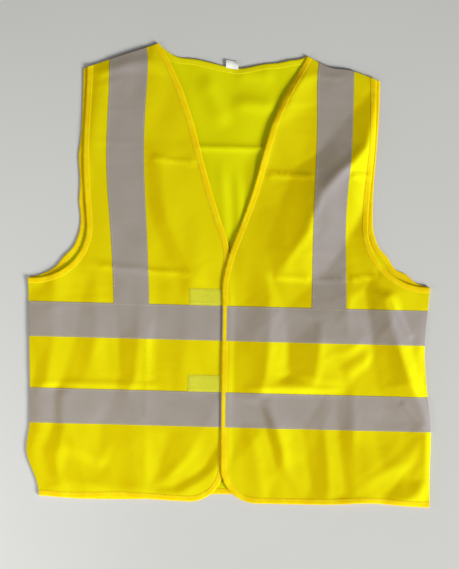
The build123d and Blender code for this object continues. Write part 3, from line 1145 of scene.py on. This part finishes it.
# ------------------------------------------------------------------ seams
def seam_roll(name, front, path, grow, material, slot, *nodes):
    """The turned seam between a front and the back: a rounded edge outside and its allowance inside."""
    path = resample(np.array(path), STEP)
    top = CLOTH[front].at(path)[0]
    bottom = CLOTH["back"].at(path)[0]
    middle = (top + bottom) / 2
    half = np.linalg.norm(top - bottom, axis=1) / 2 + CLOTH_T / 2 + grow
    tangent = np.gradient(middle, axis=0)
    outward = unit(np.column_stack([tangent[:, 1], -tangent[:, 0], 0 * half]) * SIDES[front])
    up = unit(top - bottom)
    section = [(-ROLL_IN + (ROLL_IN + ROLL_OUT + grow) * math.cos(turn), math.sin(turn), 0)
               for turn in np.linspace(-math.pi / 2, math.pi / 2, 9)]
    thick = ALLOWANCE_T / 2
    section += [(-ROLL_IN, 0, thick), (-ALLOWANCE, 0, thick), (-ALLOWANCE, 0, -thick), (-ROLL_IN, 0, -thick)]
    rings = [middle + outward * out + up * (half * rise + fixed)[:, None] for out, rise, fixed in section]
    run = run_along(path)
    round_section = np.linspace(0, 12 * MM, len(section))
    flats = [np.column_stack([run, np.full(len(run), place)]) for place in round_section]
    obj = tube(name, rings, flats, SIDES[front] > 0)
    obj.data.materials.append(material)
    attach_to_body(obj, "garment")
    if nodes:
        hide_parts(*nodes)


def tube(name, rings, flats, turned):
    """A closed tube through matching points of its lengthwise lines."""
    n, m = len(rings[0]), len(rings)
    verts = np.stack(rings, 1).reshape(-1, 3)
    flat = np.stack(flats, 1).reshape(-1, 2)
    faces = []
    for i in range(n - 1):
        for j in range(m):
            k = (j + 1) % m
            faces.append((i * m + j, i * m + k, (i + 1) * m + k, (i + 1) * m + j))
    faces.append(list(range(m))[::-1])
    faces.append([(n - 1) * m + j for j in range(m)])
    if turned:
        faces = [face[::-1] for face in faces]
    return make_object(name, verts, faces, flat)


def build_seams():
    """Side and shoulder seams, and the tapes where they pass over them."""
    wrap = SURFACE_GAP + TAPE_T
    for front in SIDES:
        edges = EDGES[front]
        for kind in ("side", "shoulder"):
            seam_roll(f"{front}_{kind}_seam_roll", front, edges[kind], SEAM_PROUD, KNIT_FRONT, "fabric",
                      f"{front}_{kind}_seam")
        line = edges["side"]
        for band, levels in BANDS.items():
            ends = [(np.interp(y, *line[np.argsort(line[:, 1])][:, ::-1].T), y) for y in levels]
            if line[0, 1] > line[-1, 1]:
                ends = ends[::-1]
            seam_roll(f"{front}_{band}_band_turn", front, ends, wrap, TAPE, "reflective_tape")
        heads = TAPES[front][2:]
        if np.dot(np.subtract(heads[1], heads[0]), edges["shoulder"][-1] - edges["shoulder"][0]) < 0:
            heads = heads[::-1]
        seam_roll(f"{front}_shoulder_tape_turn", front, heads, wrap, TAPE, "reflective_tape")


# ------------------------------------------------------------------ closures and label
def build_patch(name, key, face, material, slot):
    """A hook or loop patch: a woven ground with a plain margin, and a field of tufts on it.

    Gives back the line it is sewn along, and how far that line lies off the cloth's middle.
    """
    low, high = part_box(name)
    columns = max(2, round((high.x - low.x) / PILE_STEP))
    rows = max(2, round((high.y - low.y) / PILE_STEP))
    x, y = np.meshgrid(np.linspace(low.x, high.x, columns + 1), np.linspace(low.y, high.y, rows + 1))
    flat = np.column_stack([x.ravel(), y.ravel()])
    faces = []
    for j in range(rows):
        for i in range(columns):
            a = j * (columns + 1) + i
            faces += [(a, a + 1, a + columns + 2), (a, a + columns + 2, a + columns + 1)]
    margin = np.minimum(np.minimum(flat[:, 0] - low.x, high.x - flat[:, 0]),
                        np.minimum(flat[:, 1] - low.y, high.y - flat[:, 1]))
    rise = np.clip((margin - PILE_MARGIN) / (1.6 * MM), 0, 1)
    tufts = np.random.default_rng(len(name)).uniform(0.5, 1.0, len(flat))
    thick = (0.25 + 0.35 * rise * tufts) * MM
    base = CLOTH_T / 2 + SURFACE_GAP
    place, normals = CLOTH[key].at(flat)
    faces = np.array(faces)
    if face > 0:
        obj = sheet(f"{name}_pile", place, normals, faces, flat, base, base + thick)
    else:
        obj = sheet(f"{name}_pile", place, normals, faces, flat, -base - thick, -base)
    attach(obj, key, material, slot, name)
    lift = face * (base + 0.3 * MM)
    west, east = low.x + PATCH_SEAM_IN, high.x - PATCH_SEAM_IN
    south, north = low.y + PATCH_SEAM_IN, high.y - PATCH_SEAM_IN
    corner_points = [(west, south), (east, south), (east, north), (west, north), (west, south)]
    path = resample(np.array(corner_points), ROW_STEP)
    return path, lift


def build_closures():
    """Two loop patches on the right front and two hook patches under the left one."""
    rows = {"left": [], "right": []}
    for level in ("upper", "lower"):
        rows["right"].append(build_patch(f"{level}_loop_patch", "right", 1, LOOP, "loop_pile"))
        rows["left"].append(build_patch(f"{level}_hook_patch", "left", -1, HOOK, "hook_pile"))
    for key, entries in rows.items():
        build_stitches(f"{key}_patch_stitches", key, entries, THREAD)


def build_label():
    """A blank ribbon folded in half, with both ends caught in the neck binding."""
    low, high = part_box("neck_label")
    root = low.y - LABEL_CAUGHT
    length = high.y - root
    gap = 0.32 * MM
    out = np.linspace(0, length, 12)
    arch = 0.9 * MM * np.sin(np.pi * np.clip(out / length, 0, 1) ** 1.5)
    spread = gap * (0.5 + 0.9 * np.sin(np.pi * out / length))
    turn = np.linspace(-math.pi / 2, math.pi / 2, 7)[1:-1]
    end = arch[-1] + spread[-1] / 2

    def shell(grow):
        radius = spread[-1] / 2 + grow
        lower = list(zip(out, arch - grow))
        upper = list(zip(out, arch + spread + grow))
        bend = [(length + radius * math.cos(t), end + radius * math.sin(t)) for t in turn]
        return lower + bend + upper[::-1]

    section = shell(LABEL_T / 2) + shell(-LABEL_T / 2)[::-1]
    x = np.linspace(low.x, high.x, 13)
    rings, flats = [], []
    for depth, height in section:
        points = np.column_stack([x, np.full(len(x), root + depth)])
        sway = 0.25 * MM * np.sin(2.2 * math.pi * (x - low.x) / (high.x - low.x)) * depth / length
        rings.append(CLOTH["back"].at(points, CLOTH_T / 2 + SURFACE_GAP + 0.05 * MM + height + sway)[0])
        flats.append(np.column_stack([x, np.full(len(x), depth)]))
    obj = tube("neck_label_ribbon", rings, flats, True)
    obj.data.materials.append(LABEL)
    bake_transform(obj)
    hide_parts("neck_label")


# ------------------------------------------------------------------ stitches
def along(path, run, distances):
    """Points at the given distances along a path."""
    return np.column_stack([np.interp(distances, run, path[:, 0]), np.interp(distances, run, path[:, 1])])


def stitch_row(cloth, path, lift):
    """Vertices and faces of a row of stitches on one face of a panel."""
    run = run_along(path)
    count = max(1, int(run[-1] / STITCH_PITCH))
    middle = (np.arange(count) + 0.5) * run[-1] / count
    start, normal = cloth.at(along(path, run, middle - STITCH_L / 2), lift)
    end = cloth.at(along(path, run, middle + STITCH_L / 2), lift)[0]
    axis = end - start
    aside = unit(np.cross(axis, normal), 1e-9)
    upward = normal * math.copysign(1, lift)
    rings = [start - upward * 0.1 * MM]
    for t in (0.22, 0.78):
        for turn in np.arange(STITCH_SIDES) * 2 * math.pi / STITCH_SIDES:
            rings.append(start + axis * t + aside * STITCH_W / 2 * math.cos(turn)
                         + upward * (0.05 * MM + STITCH_W * 0.35 * math.sin(turn)))
    rings.append(end - upward * 0.1 * MM)
    m = len(rings)
    last = m - 1
    pattern = []
    for j in range(STITCH_SIDES):
        k = (j + 1) % STITCH_SIDES
        pattern.append((0, 1 + j, 1 + k))
        pattern.append((1 + j, 1 + STITCH_SIDES + j, 1 + STITCH_SIDES + k, 1 + k))
        pattern.append((last, 1 + STITCH_SIDES + k, 1 + STITCH_SIDES + j))
    if lift < 0:
        pattern = [face[::-1] for face in pattern]
    verts = np.stack(rings, 1).reshape(-1, 3)
    faces = [tuple(i * m + v for v in face) for i in range(count) for face in pattern]
    return verts, faces


def build_stitches(name, key, rows, material):
    """One mesh with every stitch of some rows on one panel."""
    verts, faces, n = [], [], 0
    for path, lift in rows:
        row_verts, row_faces = stitch_row(CLOTH[key], path, lift)
        verts.append(row_verts)
        faces += [tuple(v + n for v in face) for face in row_faces]
        n += len(row_verts)
    obj = make_object(name, np.vstack(verts), faces)
    attach(obj, key, material, "seam_thread")


def clipped_row(loop, points):
    """The part of a straight run of points that lies well inside a panel."""
    path = resample(np.array(points, float), ROW_STEP)
    rim = np.vstack([loop, loop[:1]])
    return path[inside(loop, path) & (distance(rim, path) > ROW_CLEAR)]


def tape_rows(key):
    """Stitch lines along both edges of every tape on a panel, on the tape's face and on the other one."""
    loop = EDGES[key]["loop"]
    reach = 1.2 * abs(loop[:, 0]).max()
    lines = []
    for y0, y1 in BANDS.values():
        for y in (y0 + SEAM_IN, y1 - SEAM_IN):
            lines.append(clipped_row(loop, [(-reach, y), (reach, y)]))
    for side in SIDES if key == "back" else [key]:
        inner_foot, outer_foot, outer_head, inner_head = TAPES[side]
        both = ((inner_foot, inner_head, SIDES[side]), (outer_foot, outer_head, -SIDES[side]))
        for foot, head, inward in both:
            line = np.array([foot, foot + (head - foot) * 1.1]) + (inward * SEAM_IN, 0)
            lines.append(clipped_row(loop, line))
    face = -1 if key == "back" else 1
    tape_face = CLOTH_T / 2 + SURFACE_GAP + TAPE_T
    return [(line, face * tape_face) for line in lines] + [(line, -face * CLOTH_T / 2) for line in lines]


def binding_rows(key):
    """The stitch line that holds the binding, on both faces of a panel."""
    edges = EDGES[key]
    names = ("neck", "hem", "left_armhole", "right_armhole") if key == "back" else ("front", "armhole")
    lift = CLOTH_T / 2 + SURFACE_GAP + 1.25 * BIND_T
    rows = []
    for name in names:
        path = resample(edges[name], BIND_STEP)
        inward = path_frames(path, SIDES.get(key, 1))[0]
        row = (path + inward * 0.8 * BIND_W)[4:-4]
        rows += [(row, lift), (row, -lift)]
    return rows


def build_all_stitches():
    """The rows along tapes and bindings."""
    for key in CLOTH:
        build_stitches(f"{key}_tape_stitches", key, tape_rows(key), TAPE_THREAD)
        build_stitches(f"{key}_binding_stitches", key, binding_rows(key), THREAD)


build_panels()
build_tapes()
build_bindings()
build_seams()
build_closures()
build_label()
build_all_stitches()


# ------------------------------------------------------------------ stage, light, camera
def pale_floor():
    """A plain matt floor under the vest."""
    obj = square("floor", 30, -0.3 * MM)
    g = Graph("pale_floor")
    place = g.place()
    g.set(g.shader, "Base Color", g.mix(g.noise(place, 3, 4), (0.62, 0.62, 0.60, 1), (0.68, 0.68, 0.66, 1)))
    g.set(g.shader, "Roughness", 1.0)
    g.set(g.shader, "Specular IOR Level", 0.0)
    obj.data.materials.append(g.material)


def area_light(name, direction, away, size, power, colour, spread=180):
    """A square lamp that faces the vest from a direction. spread is in degrees."""
    light = bpy.data.lights.new(name, "AREA")
    light.size = size
    light.energy = power
    light.color = colour
    light.spread = math.radians(spread)
    obj = link(name, light)
    obj.location = Vector(direction).normalized() * away
    obj.rotation_euler = Vector(direction).to_track_quat("Z", "Y").to_euler()


def studio():
    """One soft key lamp, a weak fill lamp on the other side and an even pale surround."""
    area_light("key", KEY_DIRECTION, 5.0, 1.6, 42, (1, 0.985, 0.96), spread=60)
    area_light("fill", (-0.8, -0.5, 0.45), 1.0, 0.8, 4.5, (0.97, 1, 1))
    world = bpy.data.worlds.new("studio")
    world.use_nodes = True
    world.node_tree.nodes["Background"].inputs[0].default_value = (0.93, 0.96, 1, 1)
    world.node_tree.nodes["Background"].inputs[1].default_value = 0.19
    bpy.context.scene.world = world
    bpy.context.scene.view_settings.view_transform = "Standard"


def camera():
    """Looks straight down at the vest, turned a little about the line of sight."""
    view = bpy.data.cameras.new("camera")
    view.lens = 50
    view.sensor_fit = "VERTICAL"
    view.sensor_height = 24
    height = VIEW_HEIGHT * view.lens / view.sensor_height
    obj = link("camera", view)
    obj.location = (0.0, -0.0155, height)
    obj.rotation_euler = (0, 0, math.radians(1.45))
    bpy.context.scene.camera = obj


pale_floor()
studio()
camera()
